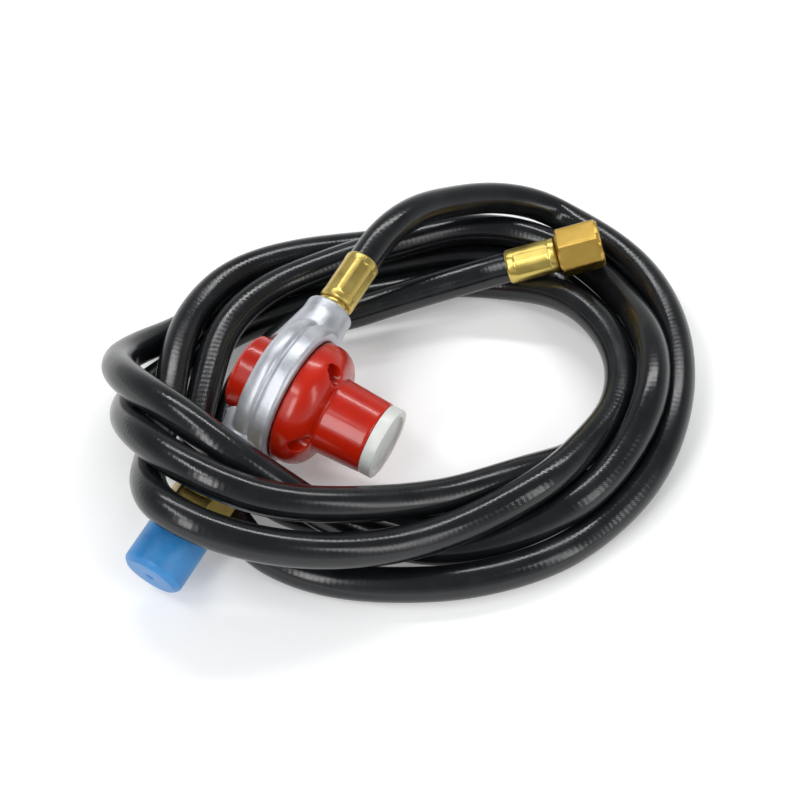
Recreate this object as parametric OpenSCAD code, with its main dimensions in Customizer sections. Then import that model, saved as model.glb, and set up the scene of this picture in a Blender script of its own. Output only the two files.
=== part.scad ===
// Propane regulator with a coiled gas hose, a POL inlet and a swivel flare outlet.
// Millimetres. The origin is the middle of the POL thread, on the axis of the gas way.
// +Y runs the way the gas flows, +X points out of the spring tower and +Z is up.

/* [Lie] */
// Upward tilt of the gas way
flow_pitch = 11; // [6:0.5:16]
// Downward tilt of the spring tower
tower_dip = 8; // [4:0.5:12]

/* [POL inlet] */
// Outer diameter of the inlet thread
pol_thread_d = 22.4; // [20:0.1:25]
// Length of the inlet thread
pol_thread_l = 14; // [10:0.5:18]
// Length of the plain neck between thread and hexagon
nut_relief_l = 4; // [2:0.5:6]
// Depth of the plain neck below the thread
nut_relief_t = 1; // [0.5:0.1:1.4]
// Width across flats of the inlet nut
nut_flats = 22.2; // [20:0.1:25]
// Length of the hexagon
nut_hex_l = 25; // [18:0.5:30]
// Diameter of the nipple behind its head
nipple_d = 12; // [10:0.1:13]
// Diameter of the nipple's head inside the nut
nipple_head_d = 16.6; // [15:0.1:17.5]
// Length of the nipple's head behind the thread's front end
nipple_head_l = 12; // [8:0.5:14]
// Diameter of the nipple's collar between nut and body
nipple_collar_d = 14; // [13:0.1:16]
// Bare length of the nipple between nut and body
nipple_bare_l = 9.5; // [7:0.5:14]
// Bore through the nipple
nipple_bore_d = 4.8; // [3:0.1:6]
// Length of the nose in front of the thread
nose_l = 5.6; // [4:0.1:8]
// Diameter of the soft seal on the nose
nose_seal_d = 15.2; // [13:0.1:16]
// Diameter of the nose inside its seal
nose_stub_d = 10; // [8:0.1:11]
// Length of the gas filter inside the nose
filter_l = 6; // [4:0.5:9]

/* [Protective cap] */
// Wall of the cap
cap_wall = 0.7; // [0.5:0.1:1.5]
// Thickness of the cap's closed end
cap_end_t = 0.8; // [0.6:0.1:2]
// Diameter of the dimple in the closed end
cap_dimple_d = 3; // [2:0.5:6]

/* [Regulator body] */
// Outer diameter of the body's flange
flange_d = 58.6; // [56:0.2:64]
// Distance from the gas way to the front of the flange
flange_front = 10.5; // [10:0.1:13]
// Distance from the gas way to the back of the pan
pan_back = 5.5; // [5:0.1:7]
// Place of the groove that parts the flange from the pan
groove_at = 2.8; // [1:0.1:5]
// Width of that groove
groove_w = 0.8; // [0.5:0.1:1.5]
// Depth of that groove
groove_t = 1.4; // [0.8:0.1:2]
// Distance from the inlet face to the axis of the tower
inlet_reach = 30.5; // [30:0.5:36]
// Distance from the axis of the tower to the outlet face
outlet_reach = 40; // [37:0.5:48]
// Diameter of the inlet boss
inlet_boss_d = 19; // [17:0.5:20.5]
// Diameter of the outlet neck
neck_d = 20; // [17:0.5:20.5]
// Widest diameter of the flare where the neck runs into the flange
neck_root_d = 27; // [22:0.5:30]
// Diameter of the chamber under the diaphragm
chamber_d = 34; // [30:0.5:35]
// Distance from the gas way to the floor of that chamber
chamber_floor = 5; // [4:0.1:6]
// Diameter of the boss that carries the valve cover
rear_boss_d = 27; // [25:0.5:28]
// Length of that boss
rear_boss_l = 7.5; // [6:0.5:9]
// Diameter of the chamber inside that boss
rear_chamber_d = 19; // [17:0.5:20]
// Distance from the gas way to the floor of the rear chamber
rear_floor = 4; // [3.5:0.1:4.5]
// Diameter of the gas way at the inlet
inlet_way_d = 5; // [4:0.1:6]
// Diameter of the gas way at the outlet
outlet_way_d = 8; // [6:0.1:8.5]

/* [Valve] */
// Outer diameter of the orifice insert
orifice_d = 9; // [7:0.1:10]
// Hole through the orifice insert
orifice_hole_d = 4; // [3.2:0.1:5]
// Height of the orifice insert's lip
orifice_lip = 1.5; // [1:0.1:2]
// Diameter of the valve disc
valve_d = 8; // [7:0.1:9]
// Thickness of the valve disc
valve_t = 2.3; // [1.5:0.1:2.6]
// Thickness of the rubber pad on the disc
pad_t = 1.2; // [0.8:0.1:1.5]
// Diameter of the valve stem
stem_d = 2.4; // [1.6:0.1:2.8]
// Opening travel of the valve
valve_travel = 1.2; // [0.8:0.1:1.4]
// Wire of the closing spring
valve_wire = 0.7; // [0.5:0.05:0.8]
// Mean diameter of the closing spring
valve_spring_d = 6.4; // [5:0.1:9]

/* [Valve cover] */
// Outer diameter of the valve cover
cover_d = 31; // [30.6:0.1:33]
// Overall length of the valve cover
cover_l = 10.5; // [10:0.1:13]
// Wire of the cover's sealing ring
ring_wire = 1; // [0.8:0.1:1.4]

/* [Diaphragm] */
// Thickness of the diaphragm
diaphragm_t = 0.8; // [0.5:0.1:1.2]
// Diameter of the diaphragm, and of the bonnet's foot on it
diaphragm_d = 50; // [49:0.2:52]
// Rise of the diaphragm's roll
roll_rise = 1.1; // [0.5:0.1:1.5]
// Diameter of the plate on the spring side
plate_d = 24; // [22:0.5:25]
// Diameter of the washer on the gas side
washer_d = 16; // [12:0.5:20]
// Thickness of plate and washer
plate_t = 1; // [0.8:0.1:1.5]
// Diameter of the rivet through the middle
rivet_d = 6; // [5:0.1:8]

/* [Bonnet and tower] */
// Height of the bonnet's straight foot
bonnet_foot = 4; // [3:0.1:6]
// Wall of the bonnet
bonnet_wall = 2; // [1.6:0.1:2.4]
// Diameter of the spring tower at the bonnet
tower_root_d = 31; // [30:0.2:34]
// Diameter of the spring tower at its mouth
tower_mouth_d = 29.4; // [29:0.2:31]
// Bore of the spring tower
tower_bore_d = 25.2; // [24:0.1:25.6]
// Distance from the bonnet's foot to the mouth of the tower
tower_l = 33.5; // [32:0.5:40]
// Number of bonnet screws
screws = 4; // [3:1:6]
// Diameter of the circle that the screws stand on
screw_circle_d = 40.4; // [39.6:0.2:41]
// Turn of the screws round the tower, from the places midway between the gas ways
screw_turn = 25; // [0:1:40]
// Diameter of the screw bosses
screw_boss_d = 9; // [8:0.1:9.4]
// Height of the screw seats over the bonnet's foot
screw_seat = 5.5; // [4.5:0.1:7]
// Diameter of the screw heads
screw_head_d = 6.6; // [5:0.1:7]
// Height of the screw heads
screw_head_t = 2.2; // [1.5:0.1:2.6]
// Diameter of the screw shanks
screw_shank_d = 3; // [2:0.1:3.4]
// Depth of the screws in the body
screw_grip = 6; // [4:0.5:8]
// Diameter of the vent under the bonnet
vent_d = 5; // [3:0.1:6]
// Thickness of the vent's screen
vent_screen_t = 0.8; // [0.5:0.1:1.2]

/* [Control spring] */
// Wire of the control spring
control_wire = 1.8; // [1.2:0.1:2.2]
// Mean diameter of the control spring
control_spring_d = 17; // [14:0.5:18]
// Curls of the control spring
control_curls = 5; // [3:1:8]
// Diameter of the spring button
button_d = 21; // [20:0.5:23]
// Thickness of the spring button
button_t = 2.5; // [1.5:0.1:3]
// Thickness of the adjusting screw
adjuster_t = 6; // [4:0.5:7]
// Width across flats of the adjusting screw's socket
adjuster_key = 8; // [5:0.5:12]
// Outward travel of the adjusting screw
adjuster_travel = 2.4; // [1:0.1:2.6]

/* [Closing cap] */
// Thickness of the closing cap outside the tower
closer_t = 5; // [3:0.1:6]
// Diameter of the closing cap
closer_d = 29; // [28:0.1:30]
// Length of the closing cap's plug inside the tower
closer_plug_l = 2.5; // [2:0.1:3]
// Wall of the plug
closer_wall = 1.5; // [1:0.1:2.5]
// Depth of the dish in the closing cap
closer_dish = 1.2; // [0.5:0.1:2]

/* [Hose] */
// Outer diameter of the hose
hose_d = 13.5; // [13:0.1:13.5]
// Bore of the hose, which the fittings are pushed into
hose_bore_d = 6.35; // [5:0.05:7]
// Part of the hose's diameter that is flat where it lies on the floor
hose_flat_share = 0.1; // [0.05:0.01:0.1]
// Rings of the coil in an hour of the clock
coil_rings_per_hour = 2; // [2:1:3]

/* [Hose fittings] */
// Outer diameter of the crimped sleeves
ferrule_d = 14.8; // [14.6:0.1:17]
// Length of the sleeve at the regulator
near_ferrule_l = 23; // [18:0.5:26]
// Length of the sleeve at the far end
far_ferrule_l = 22; // [18:0.5:26]
// Thickness of the sleeve's inner lip
ferrule_lip = 2; // [1.5:0.1:3]
// Depth of the crimp rings
crimp_t = 0.35; // [0.2:0.05:0.5]
// Number of crimp rings
crimps = 3; // [2:1:4]
// Diameter of the outlet fitting's shoulder
shoulder_d = 13.4; // [12.5:0.1:14.4]
// Length of the outlet fitting's shoulder
shoulder_l = 3; // [2:0.1:5]
// Diameter of the outlet fitting's thread in the neck
outlet_thread_d = 12; // [11:0.1:13]
// Depth of that thread
outlet_thread_l = 12; // [8:0.5:14]
// Bore through both hose fittings
fitting_bore_d = 4.4; // [3.5:0.1:4.8]

/* [Flare outlet] */
// Width across flats of the flare nut
flare_flats = 19.05; // [18.6:0.05:22.2]
// Length of the flare nut
flare_nut_l = 18.5; // [16:0.5:28]
// Turn of the flare nut on its insert
flare_nut_turn = 30; // [0:1:60]
// Diameter of the flare nut's thread
flare_thread_d = 15.8; // [15.2:0.1:16.4]
// Thickness of the flare nut's back wall
flare_wall = 5.6; // [4:0.1:6]
// Diameter of the swivel neck
swivel_d = 10; // [9:0.1:11]
// Length of the flare head
flare_head_l = 5; // [4:0.1:7]
// Clear distance between sleeve and flare nut
flare_gap = 0.4; // [0.3:0.1:1]

/* [Fits] */
// Radial clearance of parts that turn or slide on each other
running_gap = 0.08; // [0.04:0.01:0.1]
// Radial clearance of parts that are screwed or pressed together
seat_gap = 0.05; // [0.02:0.01:0.1]

/* [Hidden] */
$fn = 64;
epsilon = 0.01;
ZINC = [0.70, 0.72, 0.75];
RED = [0.67, 0.07, 0.03];
BRASS = [0.80, 0.63, 0.24];
STEEL = [0.62, 0.63, 0.65];
RUBBER = [0.08, 0.08, 0.09];
BLUE = [0.22, 0.54, 0.84];
WHITE = [0.93, 0.92, 0.88];

// Places along the gas way, from the middle of the inlet thread
thread_start = -pol_thread_l / 2;
hex_start = pol_thread_l / 2 + nut_relief_l;
hex_end = hex_start + nut_hex_l;
inlet_face = hex_end + nipple_bare_l;
tower_y = inlet_face + inlet_reach;
outlet_face = tower_y + outlet_reach;
near_ferrule_start = outlet_face + shoulder_l;
near_ferrule_end = near_ferrule_start + near_ferrule_l;
nose_tip = thread_start - nose_l;
cap_start = nose_tip - 0.6 - cap_end_t;
cap_l = hex_start - cap_start;
socket_l = 9;

// Places along the tower's axis, from the gas way
diaphragm_back = flange_front - diaphragm_t;
plate_back = diaphragm_back - plate_t;
plate_front = flange_front + valve_travel + plate_t;
rear_end = -pan_back - rear_boss_l;
cover_floor = rear_end - ring_wire;
cover_end = -pan_back - cover_l;
orifice_back = -rear_floor - orifice_lip;
pad_back = orifice_back - pad_t;
valve_back = pad_back - valve_t;
valve_spring_l = valve_back - cover_floor - valve_travel - 0.1;
tower_mouth = flange_front + tower_l;
adjuster_back = tower_mouth - closer_plug_l - 0.3 - adjuster_travel - adjuster_t;
button_back = adjuster_back - button_t;
control_spring_l = button_back - plate_front;

// Radii used by more than one piece
pol_r = pol_thread_d / 2;
cap_bore_r = pol_r + running_gap;
cap_r = cap_bore_r + cap_wall;
flange_r = flange_d / 2;
bonnet_r = diaphragm_d / 2;
thread_bore_r = nipple_head_d / 2 + 4 * running_gap;
dome_r = bonnet_r - tower_root_d / 2;
bore_r = tower_bore_d / 2;

// The far fitting, from the open end of its sleeve outward
far_place = [42, 189, 2.5];
far_azimuth = 34;
far_pitch = 17;
flare_start = far_ferrule_l + flare_gap;
flare_end = flare_start + flare_nut_l;
flare_head_start = flare_start + flare_wall + running_gap;
flare_head_end = flare_head_start + flare_head_l;
flare_thread_start = flare_head_end + 0.5;

// Directions in the frame
flow_dir = [0, cos(flow_pitch), sin(flow_pitch)];
far_dir = [cos(far_pitch) * cos(far_azimuth), cos(far_pitch) * sin(far_azimuth), sin(far_pitch)];

// The coil. Each turn is a list of [clock hour, radius, height], seen from above, hour 0 at +Y.
// Height 0 is a hose that lies on the floor; the hours of a turn run on from the turn before.
coil_centre = [29, 119];
lying_z = -14.7;
coil_turns = [
    [[0.5, 114.5, 14], [1, 117, 14.5], [1.5, 116, 14.5], [2, 113.5, 14.5], [2.5, 111, 12], [3, 108.5, 6],
     [3.5, 103.5, 0.5], [4, 101, 0], [4.5, 98.5, 0], [5, 97, 0], [5.5, 98, 0], [6, 98, 0], [6.5, 94.5, 0],
     [7, 90, 3], [7.5, 83.5, 8.5], [8, 78, 11.5], [8.5, 76, 13.5], [9, 72.5, 14], [9.5, 69, 14.5], [10, 66, 14.5],
     [11, 71, 14]],
    [[0, 94, 12.5], [0.5, 101, 10.5], [1, 103.5, 9], [1.5, 102, 17], [2, 101.5, 24], [2.5, 101, 23.5], [3, 98, 15.5],
     [3.5, 94, 10.5], [4, 88, 5.5], [4.5, 83.5, 2], [5, 81.5, 6], [5.5, 81.5, 14.5], [6, 83.5, 27], [6.5, 90.5, 41.5],
     [7, 98, 47], [7.5, 108.5, 39.5], [8, 112.5, 20], [8.5, 100.5, 4.5], [9, 89.5, 0], [9.5, 78.5, 0], [10, 70, 0],
     [10.5, 68.5, 0], [11, 70.5, 0]],
    [[0, 86, 0], [0.5, 91.5, 0], [1, 93, 0], [1.5, 95.5, 0], [2, 93.5, 0], [2.5, 87.5, 0], [3, 79, 4], [3.5, 72.5, 10.5],
     [4, 69, 14], [4.5, 69.5, 17], [5, 74, 22.5], [5.5, 84, 30.5], [6, 97, 38], [6.5, 106.5, 44], [7, 111.5, 40.5],
     [7.5, 110.5, 22], [8, 101.5, 5], [8.5, 85, 0], [9, 73, 0], [9.5, 62.5, 0], [10, 55.5, 0], [11, 55.5, 0]],
    [[0, 70, 0.5], [0.5, 77.5, 4.5], [1, 84, 10.5], [1.5, 88, 13], [2, 90, 14.5], [2.5, 88.5, 15], [3, 84, 17],
     [3.5, 83.5, 19.5], [4, 82.5, 18], [4.5, 84, 16], [5, 90.5, 18.5], [5.5, 102, 26], [6, 114.5, 34],
     [6.5, 123, 39.5], [7, 109, 23], [7.5, 95.5, 15.5], [8, 91.5, 16.5], [8.5, 91, 16], [9, 89.5, 14],
     [9.5, 84.5, 12.5], [10, 81, 10], [10.5, 81.5, 5], [11, 85.5, 2]],
    [[0, 101.5, 0], [0.5, 110.5, 0], [1, 114.5, 0], [1.5, 114.5, 0], [2, 110.5, 0], [2.5, 103, 0], [3, 94.5, 0], [3.5, 83.5, 0],
     [4, 73.5, 0], [4.5, 68.5, 0], [5, 68.5, 0], [5.5, 71, 0], [6, 75, 0], [6.5, 77, 0], [7, 75, 0], [7.5, 72, 0],
     [8, 66, 1], [8.5, 59.5, 3.5], [9, 52.5, 6.5]]];

// Free points of the hose between the regulator and the coil, and between the coil and the far end
lead_points = [[2, 166, 29.5], [5, 180, 26.5], [10, 193.5, 21.5], [17, 207, 16.5], [26, 219.5, 10.5], [37, 228.5, 4.5]];
tail_points = [[-12, 131.5, -5.5], [1, 147, -4.5], [14, 162, -3]];

// ---- placing ----

// Children are drawn with the gas way on Y and the tower on X
module regulator_place() {
    rotate([flow_pitch, 0, 0]) rotate([0, tower_dip, 0]) children();
}

// Children stand on Z; they are laid along the gas way, starting at y
module along_flow(y = 0) {
    regulator_place() translate([0, y, 0]) rotate([-90, 0, 0]) children();
}

// Children stand on Z; they are laid along the tower's axis, starting at x
module along_tower(x = 0) {
    regulator_place() translate([x, tower_y, 0]) rotate([0, 90, 0]) children();
}

// Children stand on Z; they are laid along the far fitting, starting at x
module along_far(x = 0) {
    translate(far_place) rotate([0, 0, far_azimuth]) rotate([0, -far_pitch, 0])
        translate([x, 0, 0]) rotate([0, 90, 0]) children();
}

// ---- shapes used more than once ----

// A cylinder with both rims bevelled
module bevelled(r, h, bevel) {
    rotate_extrude()
        polygon([[0, 0], [r - bevel, 0], [r, bevel], [r, h - bevel], [r - bevel, h], [0, h]]);
}

// A hexagon of the given width across flats, turned down at both ends
module hexagon_bar(flats, h, bevel) {
    intersection() {
        cylinder(d = flats / cos(30), h = h, $fn = 6);
        bevelled(flats / cos(30) / 2 + epsilon, h, bevel);
    }
}

// A sleeve with rolled ends, crimp rings and a lip at its closed end, z = 0
module sleeve(length) {
    pitch = (length - 7) / crimps;
    difference() {
        bevelled(ferrule_d / 2, length, 0.8);
        translate([0, 0, ferrule_lip])
            cylinder(r = hose_d / 2 + seat_gap, h = length);
        translate([0, 0, -epsilon])
            cylinder(r = hose_bore_d / 2 + seat_gap, h = ferrule_lip + 1);
        for (i = [0 : crimps - 1])
            translate([0, 0, 4 + pitch * (i + 0.5)])
                rotate_extrude()
                    translate([ferrule_d / 2, 0])
                        circle(r = crimp_t, $fn = 24);
    }
}

// Barbed stem that goes into the hose, standing on z = 0
module barbed_stem(length) {
    barbs = 4;
    step = length / barbs;
    for (i = [0 : barbs - 1])
        translate([0, 0, step * i])
            cylinder(r1 = hose_bore_d / 2, r2 = hose_bore_d / 2 - 0.4, h = step);
}

// ---- tubes swept along a path ----

function unit(v) = v / norm(v);
function heading(path, i) =
    i == 0 ? unit(path[1] - path[0])
    : i == len(path) - 1 ? unit(path[i] - path[i - 1])
    : unit(unit(path[i + 1] - path[i]) + unit(path[i] - path[i - 1]));
// Ring of points round the path, side over side, with flats at the top and bottom of six sides
function ring(centre, ahead, side_hint, radius, sides) =
    let (side = unit(cross(ahead, side_hint)), up = cross(side, ahead))
    [for (k = [0 : sides - 1]) centre + radius * (cos(360 * k / sides) * side + sin(360 * k / sides) * up)];
function tube_points(path, radius, sides, side_hint = [0, 0, 1]) =
    [for (i = [0 : len(path) - 1]) each ring(path[i], heading(path, i), side_hint, radius, sides)];
function tube_faces(rings, sides) = concat(
    [for (i = [0 : rings - 2], k = [0 : sides - 1]) each
        let (a = i * sides + k, b = i * sides + (k + 1) % sides)
        [[a, b, b + sides], [a, b + sides, a + sides]]],
    [for (k = [1 : sides - 2]) [0, k + 1, k]],
    [for (k = [1 : sides - 2]) let (z = (rings - 1) * sides) [z, z + k, z + k + 1]]);

module tube(path, radius, sides) {
    polyhedron(tube_points(path, radius, sides), tube_faces(len(path), sides));
}

// Compression spring round Z: closed at both ends, 8 rings a curl and 6 sides
module coil_spring(mean_d, wire, length, curls) {
    rise = length - wire;
    // The first and the last curl lie flat
    function height(turn) = wire / 2 + rise * min(1, max(0, (turn - 1) / curls));
    function wire_centre(turn) =
        [mean_d / 2 * cos(360 * turn), mean_d / 2 * sin(360 * turn), height(turn)];
    closed = 0.75;
    path = [for (i = [0 : 8 * (curls + 2 * closed)]) wire_centre(1 - closed + i / 8)];
    polyhedron([for (i = [0 : len(path) - 1]) each ring(path[i], heading(path, i), [0, 0, 1], wire / 2, 6)],
               tube_faces(len(path), 6));
}

// ---- the inlet ----

module pol_cap() {
    color(BLUE) along_flow(cap_start) difference() {
        bevelled(cap_r, cap_l, 0.3);
        translate([0, 0, cap_end_t])
            cylinder(r = cap_bore_r, h = cap_l);
        translate([0, 0, -epsilon])
            cylinder(d = cap_dimple_d, h = cap_end_t / 2);
    }
}

module pol_nut() {
    color(BRASS) difference() {
        union() {
            along_flow(thread_start)
                bevelled(pol_r, pol_thread_l, 0.8);
            along_flow(pol_thread_l / 2 - 1)
                cylinder(r = pol_r - nut_relief_t, h = nut_relief_l + 2);
            along_flow(hex_start)
                hexagon_bar(nut_flats, nut_hex_l, 0.9);
        }
        along_flow(thread_start - 1)
            cylinder(r = thread_bore_r, h = nipple_head_l + running_gap + 1);
        along_flow(thread_start)
            cylinder(r = nipple_d / 2 + running_gap, h = hex_end - thread_start + 1);
    }
}

module inlet_nipple() {
    color(BRASS) difference() {
        union() {
            along_flow(nose_tip + 0.4)
                cylinder(d = nose_stub_d, h = nose_l);
            along_flow(thread_start - 1.6)
                bevelled(nipple_head_d / 2, nipple_head_l + 1.6, 0.6);
            along_flow(thread_start + 1)
                cylinder(d = nipple_d, h = inlet_face + socket_l - thread_start - 1);
            along_flow(hex_end + 0.5)
                bevelled(nipple_collar_d / 2, nipple_bare_l - 0.5, 0.5);
        }
        along_flow(nose_tip - 1)
            cylinder(d = nipple_bore_d, h = inlet_face + socket_l - nose_tip + 2);
    }
}

module nose_seal() {
    stub_r = nose_stub_d / 2 + seat_gap;
    seal_r = nose_seal_d / 2;
    seal_l = nose_l - 1.6;
    color(RUBBER) along_flow(nose_tip) rotate_extrude()
        polygon(concat([[stub_r, 0]],
                       [for (a = [0 : 15 : 90]) [stub_r + (seal_r - stub_r) * sin(a), seal_l * 0.6 * (1 - cos(a))]],
                       [[seal_r, seal_l], [stub_r, seal_l]]));
}

module inlet_filter() {
    color(BRASS) along_flow(nose_tip + 1)
        cylinder(r = nipple_bore_d / 2 - seat_gap, h = filter_l);
}

// ---- the regulator ----

module pan_profile() {
    back_r = flange_r - 0.3;
    polygon([[0, -pan_back], [back_r - 5, -pan_back], [back_r - 2.2, 1.2 - pan_back], [back_r - 0.6, 3 - pan_back],
             [back_r, 5 - pan_back], [back_r, groove_at - groove_w - 0.4],
             [flange_r - groove_t, groove_at - groove_w / 2], [flange_r - groove_t, groove_at + groove_w / 2],
             [flange_r, groove_at + groove_w + 0.4], [flange_r, flange_front - 1.2],
             [flange_r - 1.2, flange_front], [0, flange_front]]);
}

module body_solid() {
    difference() {
        intersection() {
            union() {
                along_tower()
                    rotate_extrude() pan_profile();
                along_flow(inlet_face)
                    bevelled(inlet_boss_d / 2, 14, 0.8);
                along_flow(inlet_face + 2)
                    cylinder(r1 = inlet_boss_d / 2 - 0.2, r2 = inlet_boss_d / 2 + 2.2, h = 10);
                along_flow(outlet_face - 26)
                    bevelled(neck_d / 2, 26, 0.9);
                along_flow(outlet_face - 24)
                    cylinder(r1 = neck_root_d / 2, r2 = neck_d / 2 - 0.3, h = 20);
            }
            // Nothing of the casting stands in front of the flange
            along_tower(flange_front - 40)
                cylinder(r = outlet_reach + 20, h = 40);
        }
        // The valve cover sits flat on the back of the pan
        along_tower(-pan_back - 30)
            cylinder(r = cover_d / 2 + 0.4, h = 30);
    }
    along_tower(rear_end)
        cylinder(d = rear_boss_d, h = rear_boss_l + 1);
}

module screw_places() {
    for (i = [0 : screws - 1])
        rotate([0, 0, 360 * (i + 0.5) / screws + screw_turn])
            translate([screw_circle_d / 2, 0, 0])
                children();
}

module regulator_body() {
    cross_way_d = 3;
    cross_way = rear_chamber_d / 2 - cross_way_d / 2 - 0.7;
    outlet_pocket = chamber_d / 2 - 4.5;
    color(ZINC) difference() {
        body_solid();
        // Recess for the diaphragm and the bonnet's foot, then the chamber under it
        along_tower(diaphragm_back)
            cylinder(r = bonnet_r + seat_gap * 2, h = 10);
        along_tower(chamber_floor)
            cylinder(d = chamber_d, h = 10);
        // Chamber behind the orifice
        along_tower(rear_end - 1)
            cylinder(d = rear_chamber_d, h = -rear_floor - rear_end + 1);
        along_tower(-rear_floor - 1)
            cylinder(r = orifice_d / 2 + seat_gap, h = rear_floor + chamber_floor + 2);
        // Gas ways. A wide flange is notched so that it stays clear of the nipple's collar
        along_flow(hex_end)
            cylinder(r = nipple_collar_d / 2 + 4 * running_gap, h = nipple_bare_l - epsilon);
        along_flow(hex_end)
            cylinder(r = nipple_d / 2 + seat_gap, h = nipple_bare_l + socket_l);
        along_flow(inlet_face)
            cylinder(d = inlet_way_d, h = inlet_reach - cross_way + cross_way_d / 2 + 0.6);
        along_tower(-rear_floor - 1)
            rotate([0, 0, -90]) translate([cross_way, 0, 0])
                cylinder(d = cross_way_d, h = rear_floor + 1);
        along_flow(outlet_face - outlet_thread_l)
            cylinder(r = outlet_thread_d / 2 + seat_gap, h = outlet_thread_l + 1);
        along_flow(tower_y + outlet_pocket)
            cylinder(d = outlet_way_d, h = outlet_reach - outlet_pocket);
        along_tower(0)
            rotate([0, 0, 90]) translate([outlet_pocket, 0, 0])
                cylinder(d = 7, h = chamber_floor + 1);
        // Screw holes
        along_tower(flange_front - screw_grip) screw_places()
            cylinder(r = screw_shank_d / 2 + seat_gap, h = 20);
    }
}

module orifice_seat() {
    lip_r = orifice_hole_d / 2 + 0.8;
    color(BRASS) difference() {
        union() {
            along_tower(-rear_floor)
                cylinder(d = orifice_d, h = rear_floor + chamber_floor);
            along_tower(orifice_back)
                cylinder(r1 = lip_r, r2 = orifice_d / 2 - 0.2, h = orifice_lip + epsilon);
        }
        along_tower(orifice_back - 1)
            cylinder(d = orifice_hole_d, h = 30);
    }
}

module valve_pintle() {
    color(BRASS) union() {
        along_tower(valve_back)
            bevelled(valve_d / 2, valve_t, 0.4);
        along_tower(valve_back + 1)
            cylinder(d = stem_d, h = plate_back - 1 - valve_back - 1);
    }
}

module valve_pad() {
    color(RUBBER) along_tower(pad_back) difference() {
        cylinder(r = valve_d / 2 - 0.4, h = pad_t);
        translate([0, 0, -1])
            cylinder(r = stem_d / 2 + seat_gap, h = pad_t + 2);
    }
}

module valve_spring() {
    color(STEEL) along_tower(cover_floor)
        coil_spring(valve_spring_d, valve_wire, valve_spring_l, 2);
}

module valve_cover() {
    rim = 1.2;
    color(RED) difference() {
        along_tower(cover_end)
            rotate_extrude() polygon([[0, 0], [cover_d / 2 - 2.4, 0], [cover_d / 2 - rim, 0.5], [cover_d / 2, 1.8],
                                      [cover_d / 2, cover_l], [0, cover_l]]);
        along_tower(cover_floor)
            cylinder(r = rear_boss_d / 2 + seat_gap, h = 30);
    }
}

module cover_ring() {
    color(RUBBER) along_tower(rear_end - ring_wire / 2) rotate_extrude()
        translate([(rear_boss_d + rear_chamber_d) / 4, 0])
            circle(d = ring_wire, $fn = 24);
}

module diaphragm() {
    roll_in = plate_d / 2 + 0.5;
    roll_out = chamber_d / 2 - 0.5;
    middle = (roll_in + roll_out) / 2;
    hole_r = rivet_d / 2 + seat_gap;
    color(RUBBER) difference() {
        along_tower(diaphragm_back) rotate_extrude()
            polygon([[hole_r, 0], [roll_in, 0], [middle - 0.6, -roll_rise], [middle + 0.6, -roll_rise], [roll_out, 0],
                     [bonnet_r, 0], [bonnet_r, diaphragm_t], [roll_out, diaphragm_t],
                     [middle + 0.6, diaphragm_t - roll_rise], [middle - 0.6, diaphragm_t - roll_rise],
                     [roll_in, diaphragm_t], [hole_r, diaphragm_t]]);
        along_tower(diaphragm_back - 5) screw_places()
            cylinder(r = screw_shank_d / 2 + seat_gap, h = 20);
    }
}

module diaphragm_plate() {
    color(STEEL) {
        along_tower(plate_back)
            cylinder(d = washer_d, h = plate_t);
        along_tower(plate_back - 1)
            cylinder(d = rivet_d, h = plate_front - plate_back + 2.4);
        along_tower(plate_front - plate_t)
            bevelled(plate_d / 2, plate_t, 0.2);
    }
}

module control_spring() {
    color(STEEL) along_tower(plate_front)
        coil_spring(control_spring_d, control_wire, control_spring_l, control_curls);
}

module bonnet_shell() {
    outer = [for (a = [0 : 10 : 90]) [tower_root_d / 2 + dome_r * cos(a), bonnet_foot + dome_r * sin(a)]];
    inner_r = dome_r - bonnet_wall;
    inner = [for (a = [90 : -10 : 0]) [tower_root_d / 2 + inner_r * cos(a), bonnet_foot + inner_r * sin(a)]];
    fillet = 1.2;
    rotate_extrude() polygon(concat(
        [[bonnet_r, 0]], outer,
        [[tower_root_d / 2, bonnet_foot + dome_r + fillet], [tower_mouth_d / 2, tower_l - 0.6],
         [tower_mouth_d / 2 - 0.6, tower_l], [bore_r, tower_l],
         [bore_r, bonnet_foot + inner_r]], inner, [[bonnet_r - bonnet_wall, 0]]));
}

// The screws' bosses reach up into the dome's wall, so that each well is closed all round
module screw_bosses() {
    middle_r = dome_r - bonnet_wall / 2;
    arc = [for (a = [0 : 10 : 90]) [tower_root_d / 2 + middle_r * cos(a), bonnet_foot + middle_r * sin(a)]];
    intersection() {
        screw_places()
            cylinder(d = screw_boss_d, h = bonnet_foot + dome_r);
        rotate_extrude() polygon(concat([[0, 0], [tower_root_d / 2 + middle_r, 0]], arc,
                                        [[0, bonnet_foot + middle_r]]));
    }
}

module bonnet() {
    color(RED) difference() {
        along_tower(flange_front) union() {
            bonnet_shell();
            screw_bosses();
        }
        along_tower(flange_front + screw_seat) screw_places()
            cylinder(r = screw_head_d / 2 + 0.5, h = 20);
        along_tower(flange_front - 1) screw_places()
            cylinder(r = screw_shank_d / 2 + seat_gap, h = 20);
        along_tower(flange_front + bonnet_foot) rotate([0, 90, screw_turn])
            cylinder(d = vent_d, h = 40);
    }
}

module bonnet_screws() {
    color(RED) along_tower(flange_front) screw_places() difference() {
        union() {
            translate([0, 0, screw_seat])
                bevelled(screw_head_d / 2, screw_head_t, 0.5);
            translate([0, 0, -screw_grip + 0.5])
                cylinder(d = screw_shank_d, h = screw_seat + screw_grip);
        }
        translate([0, 0, screw_seat + screw_head_t - 1])
            cylinder(d = screw_head_d / 3, h = 2, $fn = 6);
    }
}

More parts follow.
